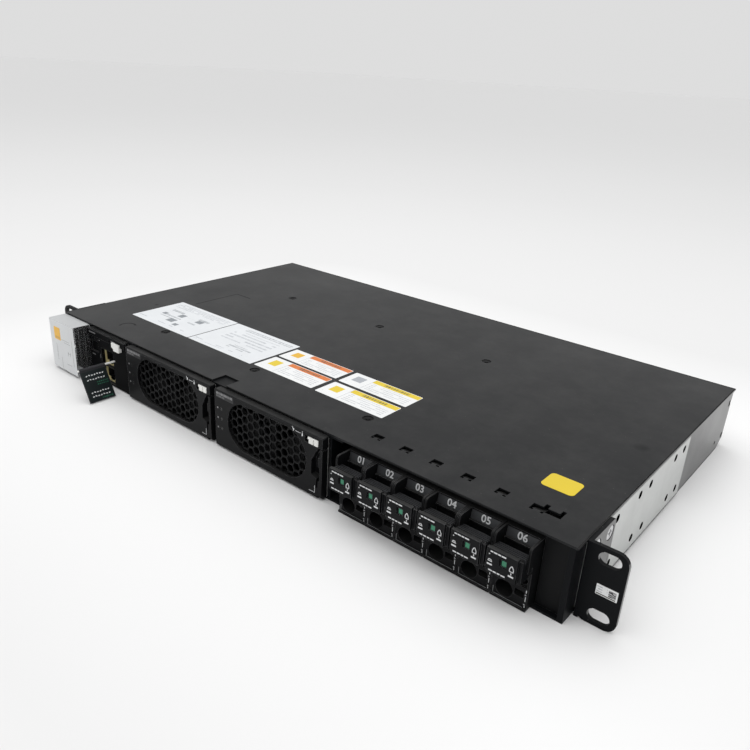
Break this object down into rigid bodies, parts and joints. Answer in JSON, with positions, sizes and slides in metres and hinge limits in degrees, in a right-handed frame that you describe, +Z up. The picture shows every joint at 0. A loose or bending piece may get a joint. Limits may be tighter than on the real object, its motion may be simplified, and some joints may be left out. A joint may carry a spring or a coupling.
{
  "type": "rack power shelf",
  "caption": "Low black rack shelf with slide-in rectifiers behind honeycomb air inlets, plug-in breakers with tilting handles, a monitor module and a clear-covered AC terminal.",
  "frame": {"origin": "centre of the underside of the shelf's tray, ears and protruding fronts left out", "axes": "+X right seen from the front, along the long side; +Y from the front to the back; +Z up"},
  "size_m": [0.4828, 0.282, 0.0436],
  "materials": {
    "black_paint": "satin powder coat",
    "zinc_steel": "zinc-plated, satin",
    "screw_steel": "zinc-plated",
    "cover_screw_steel": "blackened",
    "black_plastic": "matte, moulded",
    "handle_plastic": "matte, moulded",
    "fan_plastic": "satin, moulded",
    "clear_plastic": "clear moulded cover, slightly frosted",
    "gold_shield": "plated shield",
    "white_plastic": "matte",
    "card_plastic": "matte card",
    "circuit_board": "solder resist",
    "copper": "bare strip",
    "light_pipe": "dark translucent"
  },
  "bodies": {
    "root": {"chassis_base": "black_paint", "top_cover": "black_paint", "divider_left": "black_paint", "divider_middle": "black_paint", "divider_right": "black_paint", "side_plate_left": "zinc_steel", "side_plate_right": "zinc_steel", "ear_left": "black_paint", "ear_right": "black_paint", "ear_screws": "screw_steel", "cover_screws": "cover_screw_steel", "blank_panel": "black_plastic", "ac_terminal_block": "black_plastic", "ac_terminal_screws": "screw_steel", "ac_strips": "copper", "backplane_board": "circuit_board", "backplane_sockets": "black_plastic", "bus_bars": "copper", "breaker_1": "black_plastic", "breaker_2": "black_plastic", "breaker_3": "black_plastic", "breaker_4": "black_plastic", "breaker_5": "black_plastic", "breaker_6": "black_plastic"},
    "rectifier_1": {"rectifier_case_1": "zinc_steel", "rectifier_bezel_1": "black_plastic", "grille_1": "black_plastic", "fan_frame_1": "fan_plastic", "light_pipes_1": "light_pipe", "power_board_1": "circuit_board"},
    "rotor_1a": {"fan_rotor_1a": "fan_plastic"},
    "rotor_1b": {"fan_rotor_1b": "fan_plastic"},
    "lever_1": {"latch_lever_1": "black_plastic"},
    "lock_1": {"lock_slider_1": "white_plastic"},
    "rectifier_2": {"rectifier_case_2": "zinc_steel", "rectifier_bezel_2": "black_plastic", "grille_2": "black_plastic", "fan_frame_2": "fan_plastic", "light_pipes_2": "light_pipe", "power_board_2": "circuit_board"},
    "rotor_2a": {"fan_rotor_2a": "fan_plastic"},
    "rotor_2b": {"fan_rotor_2b": "fan_plastic"},
    "lever_2": {"latch_lever_2": "black_plastic"},
    "lock_2": {"lock_slider_2": "white_plastic"},
    "monitor": {"monitor_case": "zinc_steel", "monitor_face": "black_plastic", "monitor_board": "circuit_board", "jack_lower": "gold_shield", "jack_upper": "gold_shield", "tag_pin": "screw_steel"},
    "monitor_lock": {"monitor_lock": "white_plastic"},
    "tag": {"tag_card": "card_plastic"},
    "ac_cover": {"ac_cover": "clear_plastic"},
    "handle_1": {"breaker_handle_1": "handle_plastic"},
    "handle_2": {"breaker_handle_2": "handle_plastic"},
    "handle_3": {"breaker_handle_3": "handle_plastic"},
    "handle_4": {"breaker_handle_4": "handle_plastic"},
    "handle_5": {"breaker_handle_5": "handle_plastic"},
    "handle_6": {"breaker_handle_6": "handle_plastic"}
  },
  "joints": [
    {"name": "rectifier_1_slide", "type": "slide", "parent": "root", "child": "rectifier_1", "axis": [0, -1, 0], "range_m": [0, 0.2]},
    {"name": "fan_1a_spin", "type": "hinge", "parent": "rectifier_1", "child": "rotor_1a", "pos_m": [-0.09925, -0.116, 0.0212], "axis": [0, 1, 0], "continuous": true},
    {"name": "fan_1b_spin", "type": "hinge", "parent": "rectifier_1", "child": "rotor_1b", "pos_m": [-0.06175, -0.116, 0.0212], "axis": [0, 1, 0], "continuous": true},
    {"name": "lever_1_hinge", "type": "hinge", "parent": "rectifier_1", "child": "lever_1", "pos_m": [-0.034, -0.1275, 0.00345], "axis": [1, 0, 0], "range_deg": [0, 80]},
    {"name": "lock_1_slide", "type": "slide", "parent": "rectifier_1", "child": "lock_1", "axis": [-1, 0, 0], "range_m": [0, 0.0024]},
    {"name": "rectifier_2_slide", "type": "slide", "parent": "root", "child": "rectifier_2", "axis": [0, -1, 0], "range_m": [0, 0.2]},
    {"name": "fan_2a_spin", "type": "hinge", "parent": "rectifier_2", "child": "rotor_2a", "pos_m": [0.00175, -0.116, 0.0212], "axis": [0, 1, 0], "continuous": true},
    {"name": "fan_2b_spin", "type": "hinge", "parent": "rectifier_2", "child": "rotor_2b", "pos_m": [0.03925, -0.116, 0.0212], "axis": [0, 1, 0], "continuous": true},
    {"name": "lever_2_hinge", "type": "hinge", "parent": "rectifier_2", "child": "lever_2", "pos_m": [0.067, -0.1275, 0.00345], "axis": [1, 0, 0], "range_deg": [0, 80]},
    {"name": "lock_2_slide", "type": "slide", "parent": "rectifier_2", "child": "lock_2", "axis": [-1, 0, 0], "range_m": [0, 0.0024]},
    {"name": "monitor_slide", "type": "slide", "parent": "root", "child": "monitor", "axis": [0, -1, 0], "range_m": [0, 0.2]},
    {"name": "monitor_lock_slide", "type": "slide", "parent": "monitor", "child": "monitor_lock", "axis": [-1, 0, 0], "range_m": [0, 0.003]},
    {"name": "tag_swing", "type": "hinge", "parent": "monitor", "child": "tag", "pos_m": [-0.1499, -0.146, 0.0227], "axis": [0, -1, 0], "range_deg": [0, 100]},
    {"name": "ac_cover_slide", "type": "slide", "parent": "root", "child": "ac_cover", "axis": [0, -1, 0], "range_m": [0, 0.03]},
    {"name": "handle_1_tilt", "type": "hinge", "parent": "root", "child": "handle_1", "pos_m": [0.0924, -0.131, 0.0252], "axis": [1, 0, 0], "range_deg": [0, 45]},
    {"name": "handle_2_tilt", "type": "hinge", "parent": "root", "child": "handle_2", "pos_m": [0.1126, -0.131, 0.0252], "axis": [1, 0, 0], "range_deg": [0, 45]},
    {"name": "handle_3_tilt", "type": "hinge", "parent": "root", "child": "handle_3", "pos_m": [0.1328, -0.131, 0.0252], "axis": [1, 0, 0], "range_deg": [0, 45]},
    {"name": "handle_4_tilt", "type": "hinge", "parent": "root", "child": "handle_4", "pos_m": [0.153, -0.131, 0.0252], "axis": [1, 0, 0], "range_deg": [0, 45]},
    {"name": "handle_5_tilt", "type": "hinge", "parent": "root", "child": "handle_5", "pos_m": [0.1732, -0.131, 0.0252], "axis": [1, 0, 0], "range_deg": [0, 45]},
    {"name": "handle_6_tilt", "type": "hinge", "parent": "root", "child": "handle_6", "pos_m": [0.1934, -0.131, 0.0252], "axis": [1, 0, 0], "range_deg": [0, 45]}
  ]
}
